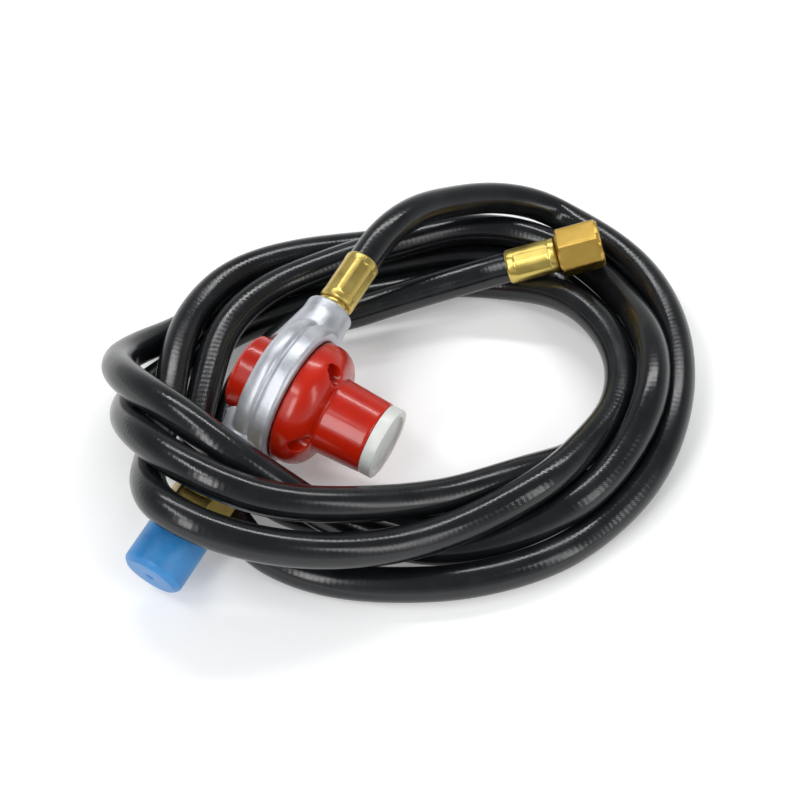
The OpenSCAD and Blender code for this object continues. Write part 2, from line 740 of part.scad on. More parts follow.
module vent_screen() {
    color(STEEL) along_tower(flange_front + bonnet_foot) rotate([0, 90, screw_turn])
        translate([0, 0, bonnet_r - bonnet_wall + 0.2])
            cylinder(r = vent_d / 2 - seat_gap, h = vent_screen_t);
}

module spring_button() {
    // The spring's straight stretches come nearer to its axis than its wire's middle
    pilot_d = control_spring_d * cos(360 / 16) - control_wire - 0.6;
    color(ZINC) along_tower(button_back) union() {
        bevelled(button_d / 2, button_t, 0.3);
        translate([0, 0, -2])
            cylinder(d = pilot_d, h = 3);
    }
}

module adjusting_screw() {
    color(ZINC) along_tower(adjuster_back) difference() {
        bevelled(bore_r - running_gap, adjuster_t, 0.4);
        translate([0, 0, 1.5])
            cylinder(d = adjuster_key / cos(30), h = adjuster_t, $fn = 6);
    }
}

module tower_cap() {
    plug_r = bore_r - running_gap;
    color(WHITE) along_tower(tower_mouth) difference() {
        union() {
            bevelled(closer_d / 2, closer_t, 0.7);
            translate([0, 0, -closer_plug_l])
                cylinder(r = plug_r, h = closer_plug_l + 1);
        }
        translate([0, 0, -closer_plug_l - 1])
            cylinder(r = plug_r - closer_wall, h = closer_plug_l + 2);
        translate([0, 0, closer_t - closer_dish])
            cylinder(r = closer_d / 2 - 2.5, h = closer_dish + 1);
    }
}

// ---- the hose and its fittings ----

module outlet_fitting() {
    stem_l = near_ferrule_l - 3;
    color(BRASS) difference() {
        union() {
            along_flow(outlet_face - outlet_thread_l)
                cylinder(d = outlet_thread_d, h = outlet_thread_l + 1);
            along_flow(outlet_face)
                bevelled(shoulder_d / 2, shoulder_l, 0.5);
            along_flow(near_ferrule_start - epsilon)
                barbed_stem(stem_l);
        }
        along_flow(outlet_face - outlet_thread_l - 1)
            cylinder(d = fitting_bore_d, h = outlet_thread_l + shoulder_l + stem_l + 4);
    }
}

module near_ferrule() {
    color(BRASS) along_flow(near_ferrule_start)
        sleeve(near_ferrule_l);
}

// Value k (1 = radius, 2 = height) of the coil's stations at a running hour: a smooth curve through them
stations = [for (turn = [0 : len(coil_turns) - 1], s = coil_turns[turn]) [12 * turn + s[0], s[1], s[2]]];
function slope(i, k) =
    let (a = max(i - 1, 0), b = min(i + 1, len(stations) - 1))
    (stations[b][k] - stations[a][k]) / (stations[b][0] - stations[a][0]);
function span_of(hour, i = 0) =
    i == len(stations) - 2 || stations[i + 1][0] > hour ? i : span_of(hour, i + 1);
function station_value(hour, k, i) =
    let (step = stations[i + 1][0] - stations[i][0], t = (hour - stations[i][0]) / step, u = 1 - t)
    u * u * (1 + 2 * t) * stations[i][k] + t * t * (1 + 2 * u) * stations[i + 1][k]
    + t * u * step * (u * slope(i, k) - t * slope(i + 1, k));
function coil_point(hour) =
    let (i = span_of(hour), r = station_value(hour, 1, i), lift = max(0, station_value(hour, 2, i)))
    [coil_centre[0] + r * sin(30 * hour), coil_centre[1] + r * cos(30 * hour), lying_z + lift];

first_hour = stations[0][0];
last_hour = stations[len(stations) - 1][0];
coil_path = [for (i = [0 : (last_hour - first_hour) * coil_rings_per_hour])
             coil_point(first_hour + i / coil_rings_per_hour)];
coil_first = coil_path[0];
coil_last = coil_path[len(coil_path) - 1];
floor_z = lying_z - hose_d / 2 + hose_flat_share * hose_d;

near_exit = near_ferrule_end * flow_dir;
lead_path = concat([near_exit - (near_ferrule_l - ferrule_lip) * flow_dir, near_exit, near_exit + hose_d * flow_dir],
                   lead_points, [coil_first - hose_d * heading(coil_path, 0), coil_first]);
tail_path = concat([coil_last, coil_last + hose_d * heading(coil_path, len(coil_path) - 1)], tail_points,
                   [far_place - hose_d * far_dir, far_place, far_place + (far_ferrule_l - ferrule_lip) * far_dir]);

// Least gap of the coil to itself, from each ring's middle to every stretch at least 3 rings away
function to_stretch(p, a, b) =
    let (t = min(1, max(0, (p - a) * (b - a) / ((b - a) * (b - a)))))
    norm(p - a - t * (b - a));
least_gap = min([for (i = [0 : len(coil_path) - 1], j = [0 : len(coil_path) - 2])
                 if (abs(i - j) > 3 && abs(i - j - 1) > 3)
                 to_stretch(coil_path[i], coil_path[j], coil_path[j + 1])]) - hose_d;
function path_length(path, i = 0) =
    i == len(path) - 1 ? 0 : norm(path[i + 1] - path[i]) + path_length(path, i + 1);
echo(least_gap_of_coil = least_gap);
echo(hose_length = path_length(lead_path) + path_length(coil_path) + path_length(tail_path));

module hose_lead() {
    color(RUBBER) tube(lead_path, hose_d / 2, 12);
}

// The coil is cut flat where it lies on the floor
module hose_coil() {
    points = tube_points(coil_path, hose_d / 2, 6);
    color(RUBBER)
        polyhedron([for (p = points) [p[0], p[1], max(p[2], floor_z)]], tube_faces(len(coil_path), 6));
}

module hose_tail() {
    color(RUBBER) tube(tail_path, hose_d / 2, 12);
}

module far_insert() {
    stem_l = far_ferrule_l - 3;
    head_r = flare_thread_d / 2 - 0.5;
    cone_l = 3.6;
    color(BRASS) difference() {
        union() {
            along_far(far_ferrule_l - stem_l)
                barbed_stem(stem_l);
            along_far(far_ferrule_l)
                cylinder(d = swivel_d, h = flare_head_start - far_ferrule_l + 1);
            along_far(flare_head_start)
                bevelled(head_r, flare_head_l, 0.5);
        }
        along_far(-1)
            cylinder(d = fitting_bore_d, h = flare_head_end + 2);
        along_far(flare_head_end - cone_l)
            cylinder(r1 = fitting_bore_d / 2, r2 = fitting_bore_d / 2 + cone_l, h = cone_l + epsilon);
    }
}

module far_ferrule() {
    color(BRASS) along_far(far_ferrule_l) rotate([180, 0, 0])
        sleeve(far_ferrule_l);
}

module flare_nut() {
    color(BRASS) difference() {
        along_far(flare_start) rotate([0, 0, flare_nut_turn])
            hexagon_bar(flare_flats, flare_nut_l, 0.9);
        // Room for the head, then the thread
        along_far(flare_start + flare_wall)
            cylinder(d = flare_thread_d + 0.8, h = flare_thread_start - flare_start - flare_wall);
        along_far(flare_thread_start - 1)
            cylinder(d = flare_thread_d, h = flare_nut_l);
        along_far(flare_start - 1)
            cylinder(r = swivel_d / 2 + running_gap, h = flare_nut_l);
    }
}

pol_cap();
pol_nut();
inlet_nipple();
nose_seal();
inlet_filter();
regulator_body();
orifice_seat();
valve_pintle();
valve_pad();
valve_spring();
valve_cover();
cover_ring();
diaphragm();
diaphragm_plate();
control_spring();
bonnet();
bonnet_screws();
vent_screen();
spring_button();
adjusting_screw();
tower_cap();
outlet_fitting();
near_ferrule();
hose_lead();
hose_coil();
hose_tail();
far_insert();
far_ferrule();
flare_nut();
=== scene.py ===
"""Propane regulator with its coiled hose, dressed for a studio picture.

Sizes are in millimetres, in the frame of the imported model, and become metres where a mesh is made.
"""
import math

import bmesh
import bpy
import numpy as np
from mathutils import Matrix, Vector


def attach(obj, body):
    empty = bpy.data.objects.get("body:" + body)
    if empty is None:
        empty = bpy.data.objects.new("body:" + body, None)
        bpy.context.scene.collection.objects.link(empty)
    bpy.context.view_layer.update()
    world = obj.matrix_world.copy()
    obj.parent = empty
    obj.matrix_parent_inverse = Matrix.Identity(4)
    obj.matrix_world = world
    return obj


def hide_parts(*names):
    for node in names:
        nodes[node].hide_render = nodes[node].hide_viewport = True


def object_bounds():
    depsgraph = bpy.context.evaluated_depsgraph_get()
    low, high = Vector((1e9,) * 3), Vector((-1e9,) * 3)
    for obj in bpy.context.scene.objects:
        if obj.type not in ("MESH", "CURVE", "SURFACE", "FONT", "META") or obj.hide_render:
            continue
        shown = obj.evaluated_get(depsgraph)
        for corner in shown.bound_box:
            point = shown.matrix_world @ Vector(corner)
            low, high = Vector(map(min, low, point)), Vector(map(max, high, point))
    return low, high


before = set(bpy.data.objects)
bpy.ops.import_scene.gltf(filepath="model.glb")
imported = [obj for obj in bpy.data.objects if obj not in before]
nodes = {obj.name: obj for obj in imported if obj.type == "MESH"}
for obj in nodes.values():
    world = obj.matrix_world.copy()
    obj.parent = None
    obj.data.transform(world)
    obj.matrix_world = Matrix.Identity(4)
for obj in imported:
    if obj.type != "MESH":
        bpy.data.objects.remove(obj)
cad_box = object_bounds()
MM = 0.001
INCH = 25.4

# ---------------------------------------------------------------- sizes

FLOW_PITCH = math.radians(11)
TOWER_DIP = math.radians(8)
TOWER_Y = 76.0
FLANGE_FRONT = 10.5

THREAD_R = 11.2
THREAD_L = 14.0
THREAD_PITCH = INCH / 14
THREAD_DEPTH = 0.75
NUT_RELIEF_R = 10.2
HEX_START = 11.0
HEX_L = 25.0
NUT_FLATS = 22.2
NUT_BORE_R = 6.08
NUT_HEAD_BORE_R = 8.62
NUT_HEAD_DEPTH = 12.08
HEX_CORNER_CUT = 0.3

CAP_START = -14.0
CAP_L = 25.0
CAP_R = 11.98
CAP_BORE_R = 11.28

FERRULE_R = 7.4
FERRULE_END_T = 2
FERRULE_BORE_R = 3.3
NEAR_FERRULE_START = 119.0
NEAR_FERRULE_L = 23.0
FAR_FERRULE_L = 22.0

FAR_PLACE = Vector((42.0, 189.0, 2.5))
FAR_AZIMUTH = math.radians(34)
FAR_PITCH = math.radians(17)
FLARE_START = 22.4
FLARE_L = 18.5
FLARE_TURN = math.radians(30)
FLARE_FLATS = 19.05
FLARE_WALL = 5.6
FLARE_BORE_R = 7.9
FLARE_RELIEF_R = 8.3
FLARE_THREAD_START = 33.58
FLARE_PITCH = INCH / 18
FLARE_DEPTH = 0.45
SWIVEL_BORE_R = 5.08

TOWER_MOUTH = 44.0
CLOSER_R = 14.5
CLOSER_T = 5.0
CLOSER_PLUG_R = 12.52
CLOSER_PLUG_L = 2.5
CLOSER_HOLLOW = 1.2

SCREW_COUNT = 4
SCREW_HEAD_R = 3.3
SCREW_HEAD_T = 2.2
SCREW_SHANK_R = 1.5
SCREW_SHANK_L = 6.0
SCREW_SOCKET_R = 1.15
SCREW_CIRCLE_R = 20.2
SCREW_SEAT = 5.5
SCREW_TURN = math.radians(25)

# Round bodies that the hose lies against: first and last place on their axis, and radius
NIPPLE_REACH = (36, 46, 7.2)
BODY_REACH = (45, 118, 10.6)
FLANGE_REACH = (-5.5, FLANGE_FRONT, 29.4)
COVER_REACH = (-16, -5.5, 15.6)
DOME_FOOT_REACH = (FLANGE_FRONT, 16, 25.2)
DOME_TOP_REACH = (16, 22, 22)
TOWER_REACH = (22, 57, 15.6)

# How the hose settles: distance between its points, rounds, and the share that each round gives
SETTLE_SPACING = 4.0
SETTLE_ROUNDS = 60
STIFF_ROUNDS = SETTLE_ROUNDS - 20
SHARED_ROUNDS = SETTLE_ROUNDS - 6
BEND_SHARE = 0.12
PULL_SHARE = 0.04
PUSH_SHARE = 1.4
SHARE_REACH = 8
SHARE_WIDTH = 2.5
HELD_POINTS = 8
SLEEVED_POINTS = 12
NEIGHBOURS = 9
TURN_GAP = 0.05
FITTING_GAP = 0.1
TUBE_SPACING = 2.2
TUBE_SIDES = 40

HOSE_D = 13.5
COIL_CENTRE = (29.0, 119.0)
LYING_Z = -14.7
DEGREES_PER_HOUR = 30
# Each turn is a list of [clock hour, radius, height]; hour 0 is +Y, clockwise seen from above
COIL_TURNS = [
    [[0.5, 114.5, 14], [1, 117, 14.5], [1.5, 116, 14.5], [2, 113.5, 14.5], [2.5, 111, 12],
     [3, 108.5, 6], [3.5, 103.5, 0.5], [4, 101, 0], [4.5, 98.5, 0], [5, 97, 0], [5.5, 98, 0],
     [6, 98, 0], [6.5, 94.5, 0], [7, 90, 3], [7.5, 83.5, 8.5], [8, 78, 11.5], [8.5, 76, 13.5],
     [9, 72.5, 14], [9.5, 69, 14.5], [10, 66, 14.5], [11, 71, 14]],
    [[0, 94, 12.5], [0.5, 101, 10.5], [1, 103.5, 9], [1.5, 102, 17], [2, 101.5, 24],
     [2.5, 101, 23.5], [3, 98, 15.5], [3.5, 94, 10.5], [4, 88, 5.5], [4.5, 83.5, 2], [5, 81.5, 6],
     [5.5, 81.5, 14.5], [6, 83.5, 27], [6.5, 90.5, 41.5], [7, 98, 47], [7.5, 108.5, 39.5],
     [8, 112.5, 20], [8.5, 100.5, 4.5], [9, 89.5, 0], [9.5, 78.5, 0], [10, 70, 0], [10.5, 68.5, 0],
     [11, 70.5, 0]],
    [[0, 86, 0], [0.5, 91.5, 0], [1, 93, 0], [1.5, 95.5, 0], [2, 93.5, 0], [2.5, 87.5, 0],
     [3, 79, 4], [3.5, 72.5, 10.5], [4, 69, 14], [4.5, 69.5, 17], [5, 74, 22.5], [5.5, 84, 30.5],
     [6, 97, 38], [6.5, 106.5, 44], [7, 111.5, 40.5], [7.5, 110.5, 22], [8, 101.5, 5], [8.5, 85, 0],
     [9, 73, 0], [9.5, 62.5, 0], [10, 55.5, 0], [11, 55.5, 0]],
    [[0, 70, 0.5], [0.5, 77.5, 4.5], [1, 84, 10.5], [1.5, 88, 13], [2, 90, 14.5], [2.5, 88.5, 15],
     [3, 84, 17], [3.5, 83.5, 19.5], [4, 82.5, 18], [4.5, 84, 16], [5, 90.5, 18.5], [5.5, 102, 26],
     [6, 114.5, 34], [6.5, 123, 39.5], [7, 109, 23], [7.5, 95.5, 15.5], [8, 91.5, 16.5],
     [8.5, 91, 16], [9, 89.5, 14], [9.5, 84.5, 12.5], [10, 81, 10], [10.5, 81.5, 5], [11, 85.5, 2]],
    [[0, 101.5, 0], [0.5, 110.5, 0], [1, 114.5, 0], [1.5, 114.5, 0], [2, 110.5, 0], [2.5, 103, 0],
     [3, 94.5, 0], [3.5, 83.5, 0], [4, 73.5, 0], [4.5, 68.5, 0], [5, 68.5, 0], [5.5, 71, 0],
     [6, 75, 0], [6.5, 77, 0], [7, 75, 0], [7.5, 72, 0], [8, 66, 1], [8.5, 59.5, 3.5],
     [9, 52.5, 6.5]],
]
LEAD_POINTS = [[2, 166, 29.5], [5, 180, 26.5], [10, 193.5, 21.5],
               [17, 207, 16.5], [26, 219.5, 10.5], [37, 228.5, 4.5]]
TAIL_POINTS = [[-12, 131.5, -5.5], [1, 147, -4.5], [14, 162, -3]]

REGULATOR = Matrix.Rotation(FLOW_PITCH, 4, "X") @ Matrix.Rotation(TOWER_DIP, 4, "Y")
FAR_END = (Matrix.Translation(FAR_PLACE) @ Matrix.Rotation(FAR_AZIMUTH, 4, "Z")
           @ Matrix.Rotation(-FAR_PITCH, 4, "Y"))


def along_flow(y):
    """Place of a piece that stands on Z, laid along the gas way from y."""
    return REGULATOR @ Matrix.Translation((0, y, 0)) @ Matrix.Rotation(-math.pi / 2, 4, "X")


def along_tower(x):
    """Place of a piece that stands on Z, laid along the spring tower from x."""
    return REGULATOR @ Matrix.Translation((x, TOWER_Y, 0)) @ Matrix.Rotation(math.pi / 2, 4, "Y")


def along_far(x):
    """Place of a piece that stands on Z, laid along the far fitting from x."""
    return FAR_END @ Matrix.Translation((x, 0, 0)) @ Matrix.Rotation(math.pi / 2, 4, "Y")


# ---------------------------------------------------------------- camera

def aim(thing, target):
    """Turn a camera or lamp so that it looks at the target."""
    toward = Vector(target) - thing.location
    thing.rotation_euler = toward.to_track_quat("-Z", "Y").to_euler()


CAMERA_LENS = 67.5
CAMERA_PLACE = (0.2308, -0.2305, 0.4593)
CAMERA_TARGET = (0.0340, 0.1103, -0.0097)


def make_camera():
    """A camera that looks down on the coil from the right."""
    data = bpy.data.cameras.new("camera")
    data.lens = CAMERA_LENS
    data.sensor_width = 36.0
    data.clip_start = 0.01
    data.clip_end = 20.0
    camera = bpy.data.objects.new("camera", data)
    camera.location = CAMERA_PLACE
    bpy.context.scene.collection.objects.link(camera)
    aim(camera, CAMERA_TARGET)
    bpy.context.scene.camera = camera


make_camera()


# ---------------------------------------------------------------- materials

class Shader:
    """A Principled material and short ways to add nodes to it."""

    def __init__(self, name, colour, roughness, metallic=0.0, **sockets):
        self.material = bpy.data.materials.new(name)
        self.material.use_nodes = True
        self.tree = self.material.node_tree
        self.principled = self.tree.nodes["Principled BSDF"]
        self.set("Base Color", (*colour, 1.0))
        self.set("Roughness", roughness)
        self.set("Metallic", metallic)
        for socket, value in sockets.items():
            self.set(socket.replace("_", " "), value)

    def set(self, socket, value):
        self.principled.inputs[socket].default_value = value

    def add(self, kind, **values):
        node = self.tree.nodes.new(kind)
        for key, value in values.items():
            if key in node.inputs:
                node.inputs[key].default_value = value
            else:
                setattr(node, key, value)
        return node

    def link(self, source, target):
        self.tree.links.new(source, target)

    def object_coordinates(self, scale=(1, 1, 1), place=None):
        """Coordinates in metres on the piece, turned into a place's own axes when one is given."""
        coordinates = self.add("ShaderNodeTexCoord")
        mapping = self.add("ShaderNodeMapping")
        if place is not None:
            inverse = place.inverted()
            mapping.inputs["Rotation"].default_value = inverse.to_euler("XYZ")
            mapping.inputs["Location"].default_value = inverse.to_translation() * MM
        self.link(coordinates.outputs["Object"], mapping.inputs["Vector"])
        if scale == (1, 1, 1):
            return mapping.outputs["Vector"]
        stretch = self.add("ShaderNodeVectorMath", operation="MULTIPLY")
        stretch.inputs[1].default_value = scale
        self.link(mapping.outputs["Vector"], stretch.inputs[0])
        return stretch.outputs["Vector"]

    def noise(self, vector, scale, detail=2.0, roughness=0.5):
        node = self.add("ShaderNodeTexNoise", Scale=scale, Detail=detail, Roughness=roughness)
        self.link(vector, node.inputs["Vector"])
        return node.outputs["Fac"]

    def math(self, operation, a, b=0.0, c=0.0):
        node = self.add("ShaderNodeMath", operation=operation)
        for socket, value in zip(node.inputs, (a, b, c)):
            if isinstance(value, (int, float)):
                socket.default_value = value
            else:
                self.link(value, socket)
        return node.outputs["Value"]

    def ramp(self, fac, stops):
        """Colours or greys by factor: stops is a list of (place, grey or colour)."""
        node = self.add("ShaderNodeValToRGB")
        elements = node.color_ramp.elements
        while len(elements) < len(stops):
            elements.new(0.5)
        for element, (place, value) in zip(elements, stops):
            element.position = place
            grey = isinstance(value, (int, float))
            element.color = (value, value, value, 1.0) if grey else (*value, 1.0)
        self.link(fac, node.inputs["Fac"])
        return node.outputs["Color"]

    def colour(self, fac, stops):
        self.link(self.ramp(fac, stops), self.principled.inputs["Base Color"])

    def roughness(self, fac, low, high):
        self.link(self.ramp(fac, [(0.3, low), (0.7, high)]), self.principled.inputs["Roughness"])

    def bumps(self, *heights):
        """Stack bumps: each is (height output, depth in metres, strength)."""
        normal = None
        for height, depth, strength in heights:
            bump = self.add("ShaderNodeBump", Distance=depth, Strength=strength)
            self.link(height, bump.inputs["Height"])
            if normal is not None:
                self.link(normal, bump.inputs["Normal"])
            normal = bump.outputs["Normal"]
        self.link(normal, self.principled.inputs["Normal"])


# Pitches of the cloth wrap's print in the rubber, in metres
WEFT_PITCH = 0.0011
WARP_PITCH = 0.00106
RING_PITCH = 0.0022
RING_LEAN = 0.12


def rubber_hose():
    """Black hose, cured in a cloth wrap: fine rings and weave, and broad duller patches."""
    s = Shader("hose_rubber", (0.008, 0.009, 0.0105), 0.2, Specular_IOR_Level=0.5)
    uv = s.add("ShaderNodeUVMap", uv_map="wrap")
    split = s.add("ShaderNodeSeparateXYZ")
    s.link(uv.outputs["UV"], split.inputs["Vector"])
    around = split.outputs["X"]
    along = split.outputs["Y"]
    # UV is in metres, so the weave has the same pitch all round
    weft = s.math("SINE", s.math("MULTIPLY", along, 2 * math.pi / WEFT_PITCH))
    warp = s.math("SINE", s.math("MULTIPLY", around, 2 * math.pi / WARP_PITCH))
    weave = s.math("MULTIPLY", weft, warp)
    lean = s.math("ADD", along, s.math("MULTIPLY", around, RING_LEAN))
    rings = s.math("SINE", s.math("MULTIPLY", lean, 2 * math.pi / RING_PITCH))
    patches = s.noise(s.object_coordinates(), 75.0, 3.0, 0.6)
    grain = s.noise(s.object_coordinates(), 1500.0, 2.0, 0.6)
    s.bumps((patches, 0.0003, 0.25), (rings, 0.00003, 0.28),
            (weave, 0.00003, 0.25), (grain, 0.00003, 0.3))
    s.roughness(patches, 0.14, 0.26)
    s.colour(patches, [(0.25, (0.005, 0.0055, 0.0065)),
                       (0.55, (0.008, 0.009, 0.0105)),
                       (0.85, (0.014, 0.015, 0.017))])
    return s.material


def turned_brass(name, place, colour):
    """Brass with light stains and fine turning marks round the piece's own axis."""
    s = Shader(name, colour, 0.3, 1.0)
    marks = s.noise(s.object_coordinates((60, 60, 2600), place), 1.0, 3.0, 0.65)
    stains = s.noise(s.object_coordinates(), 160.0, 4.0, 0.6)
    r, g, b = colour
    s.colour(stains, [(0.3, (r * 0.90, g * 0.87, b * 0.78)),
                      (0.6, colour),
                      (0.85, (r * 1.04, g * 1.06, b * 1.15))])
    s.roughness(stains, 0.27, 0.38)
    s.bumps((marks, 0.00003, 0.35), (stains, 0.00006, 0.2))
    return s.material


def cast_zinc():
    """Tumbled zinc casting: satin grey with a fine pebble and darker hollows."""
    s = Shader("cast_zinc", (0.56, 0.58, 0.62), 0.42, 0.75)
    cloud = s.noise(s.object_coordinates(), 90.0, 4.0, 0.6)
    pebble = s.noise(s.object_coordinates(), 900.0, 2.0, 0.55)
    s.colour(cloud, [(0.3, (0.46, 0.48, 0.52)),
                     (0.55, (0.58, 0.60, 0.64)),
                     (0.8, (0.66, 0.68, 0.72))])
    s.roughness(cloud, 0.36, 0.52)
    s.bumps((pebble, 0.00012, 0.35), (cloud, 0.0004, 0.25))
    return s.material


def red_enamel():
    """Glossy red enamel with a little orange peel."""
    s = Shader("red_enamel", (0.50, 0.011, 0.001), 0.26,
               Specular_IOR_Level=0.35, Coat_Weight=0.25, Coat_Roughness=0.08)
    peel = s.noise(s.object_coordinates(), 420.0, 2.0, 0.5)
    tone = s.noise(s.object_coordinates(), 60.0, 2.0, 0.5)
    s.colour(tone, [(0.3, (0.44, 0.009, 0.0008)), (0.7, (0.56, 0.016, 0.0015))])
    s.bumps((peel, 0.0001, 0.2))
    return s.material


def moulded(name, dark, light, roughness, **sockets):
    """Moulded plastic or rubber with a fine satin grain."""
    s = Shader(name, light, roughness, **sockets)
    tone = s.noise(s.object_coordinates(), 110.0, 3.0, 0.55)
    fine = s.noise(s.object_coordinates(), 1100.0, 2.0, 0.5)
    s.colour(tone, [(0.3, dark), (0.7, light)])
    s.roughness(tone, roughness * 0.85, min(1.0, roughness * 1.2))
    s.bumps((fine, 0.00005, 0.3))
    return s.material


def plated_steel():
    """Plated steel with drawn lines."""
    s = Shader("plated_steel", (0.55, 0.56, 0.58), 0.3, 1.0)
    lines = s.noise(s.object_coordinates((500, 500, 60)), 1.0, 3.0, 0.6)
    s.colour(lines, [(0.3, (0.46, 0.47, 0.49)), (0.7, (0.62, 0.63, 0.65))])
    s.roughness(lines, 0.25, 0.4)
    return s.material


HOSE_RUBBER = rubber_hose()
BRASS_NEAR = turned_brass("brass_near", along_flow(0), (0.66, 0.50, 0.15))
BRASS_FAR = turned_brass("brass_far", along_far(0), (0.58, 0.38, 0.09))
BRASS_FAR_SLEEVE = turned_brass("brass_far_sleeve", along_far(0), (0.72, 0.56, 0.16))
ZINC = cast_zinc()
RED = red_enamel()
BLUE = moulded("blue_plastic", (0.020, 0.190, 0.500), (0.042, 0.270, 0.620), 0.36)
WHITE = moulded("white_plastic", (0.74, 0.72, 0.68), (0.84, 0.82, 0.78), 0.34,
                Subsurface_Weight=0.15)
BLACK = moulded("black_rubber", (0.010, 0.010, 0.011), (0.022, 0.022, 0.024), 0.55)
STEEL = plated_steel()


# ---------------------------------------------------------------- mesh tools

ON_AXIS = 1e-6
SHARPEST_BEND_KEPT = math.radians(8)


def finish_mesh(name, mesh, material, body, smooth_angle):
    """Link a mesh as a piece that rides on a CAD body, shaded smooth except over sharp edges."""
    mesh.materials.clear()
    mesh.materials.append(material)
    piece = bpy.data.objects.new(name, mesh)
    bpy.context.scene.collection.objects.link(piece)
    mesh.shade_smooth()
    if smooth_angle < 180:
        mesh.set_sharp_from_angle(angle=math.radians(smooth_angle))
    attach(piece, body)
    return piece


def soften(profile, radius, pieces, closed=False):
    """Round the corners of a list of (radius, height) points; points on the axis stay sharp."""
    points = [Vector(p) for p in profile]
    count = len(points)
    rounded = []
    for i, corner in enumerate(points):
        inner = closed or 0 < i < count - 1
        before = points[i - 1]
        after = points[(i + 1) % count]
        if not inner or corner.x < ON_AXIS:
            rounded.append(corner)
            continue
        back = before - corner
        ahead = after - corner
        reach = min(radius, back.length * 0.45, ahead.length * 0.45)
        if reach < 1e-4 or back.angle(-ahead) < SHARPEST_BEND_KEPT:
            rounded.append(corner)
            continue
        start = corner + back.normalized() * reach
        end = corner + ahead.normalized() * reach
        for k in range(pieces + 1):
            t = k / pieces
            rounded.append((1 - t) ** 2 * start + 2 * t * (1 - t) * corner + t * t * end)
    return [(p.x, p.y) for p in rounded]


def turned(rows, place, segments, closed=False, shape=None):
    """Revolve (radius, height) rows round Z and place the mesh.

    shape, where given, changes a row's radius and height by its angle.
    """
    angles = [2 * math.pi * k / segments for k in range(segments)]
    mesh = bmesh.new()
    rings = []
    for radius, height in rows:
        if radius < ON_AXIS:
            rings.append([mesh.verts.new(place @ Vector((0, 0, height)) * MM)])
            continue
        ring = []
        for angle in angles:
            r, z = shape(angle, radius, height) if shape else (radius, height)
            point = Vector((r * math.cos(angle), r * math.sin(angle), z))
            ring.append(mesh.verts.new(place @ point * MM))
        rings.append(ring)
    pairs = list(zip(rings, rings[1:]))
    if closed:
        pairs.append((rings[-1], rings[0]))
    for low, high in pairs:
        for k in range(segments):
            n = (k + 1) % segments
            if len(low) == 1:
                mesh.faces.new((low[0], high[n], high[k]))
            elif len(high) == 1:
                mesh.faces.new((low[k], low[n], high[0]))
            else:
                mesh.faces.new((low[k], low[n], high[n], high[k]))
    result = bpy.data.meshes.new("turned")
    mesh.to_mesh(result)
    mesh.free()
    return result


def merged_copy(node):
    """The mesh of a CAD node as one closed skin."""
    mesh = nodes[node].data.copy()
    work = bmesh.new()
    work.from_mesh(mesh)
    bmesh.ops.remove_doubles(work, verts=work.verts, dist=1e-6)
    work.to_mesh(mesh)
    work.free()
    return mesh


def evaluated(piece):
    """A piece's mesh with its modifiers applied."""
    graph = bpy.context.evaluated_depsgraph_get()
    return bpy.data.meshes.new_from_object(piece.evaluated_get(graph), depsgraph=graph)


def cast_skin(node, voxel, rounds):
    """The mesh of a CAD node with its corners rounded as in a casting; voxel is in millimetres."""
    scratch = bpy.data.objects.new("scratch", merged_copy(node))
    bpy.context.scene.collection.objects.link(scratch)
    remesh = scratch.modifiers.new("skin", "REMESH")
    remesh.mode = "VOXEL"
    remesh.voxel_size = voxel * MM
    smooth = scratch.modifiers.new("round", "SMOOTH")
    smooth.factor = 0.5
    smooth.iterations = rounds
    mesh = evaluated(scratch)
    bpy.data.objects.remove(scratch)
    return mesh


def dress(node, mesh, material, body, smooth_angle):
    """Put a finished mesh in a CAD node's place."""
    piece = finish_mesh(node + "_skin", mesh, material, body, smooth_angle)
    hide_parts(node)
    return piece


# ---------------------------------------------------------------- hose

def coil_stations():
    """The stations of all turns in one list, by running hour."""
    return np.array([[12 * turn + hour, radius, height]
                     for turn, row in enumerate(COIL_TURNS)
                     for hour, radius, height in row], float)


def coil_point(stations, hour):
    """Point of the coil at a running hour, on the same smooth curve as the solid's."""
    last = len(stations) - 1
    i = min(max(int(np.searchsorted(stations[:, 0], hour + 1e-9, side="right")) - 1, 0), last - 1)
    step = stations[i + 1, 0] - stations[i, 0]
    t = (hour - stations[i, 0]) / step
    u = 1 - t

    def slope(j):
        a, b = max(j - 1, 0), min(j + 1, last)
        return (stations[b, 1:] - stations[a, 1:]) / (stations[b, 0] - stations[a, 0])

    radius, height = (u * u * (1 + 2 * t) * stations[i, 1:]
                      + t * t * (1 + 2 * u) * stations[i + 1, 1:]
                      + t * u * step * (u * slope(i) - t * slope(i + 1)))
    angle = math.radians(DEGREES_PER_HOUR * hour)
    return (COIL_CENTRE[0] + radius * math.sin(angle), COIL_CENTRE[1] + radius * math.cos(angle),
            LYING_Z + max(height, 0.0))


def resample(points, spacing):
    """The same line with points an even distance apart."""
    stretches = np.linalg.norm(np.diff(points, axis=0), axis=1)
    run = np.concatenate([[0.0], np.cumsum(stretches)])
    count = int(round(run[-1] / spacing))
    at = np.linspace(0.0, run[-1], count + 1)
    return np.stack([np.interp(at, run, points[:, k]) for k in range(3)], axis=1)


def smooth_line(points, subdivisions=8):
    """A curve through a few points, by cubic pieces."""
    out = []
    count = len(points)
    for i in range(count - 1):
        p0, p1, p2, p3 = (points[min(max(j, 0), count - 1)] for j in (i - 1, i, i + 1, i + 2))
        for k in range(subdivisions):
            t = k / subdivisions
            out.append(0.5 * ((2 * p1) + (p2 - p0) * t
                              + (2 * p0 - 5 * p1 + 4 * p2 - p3) * t ** 2
                              + (3 * p1 - p0 - 3 * p2 + p3) * t ** 3))
    out.append(points[-1])
    return np.array(out)


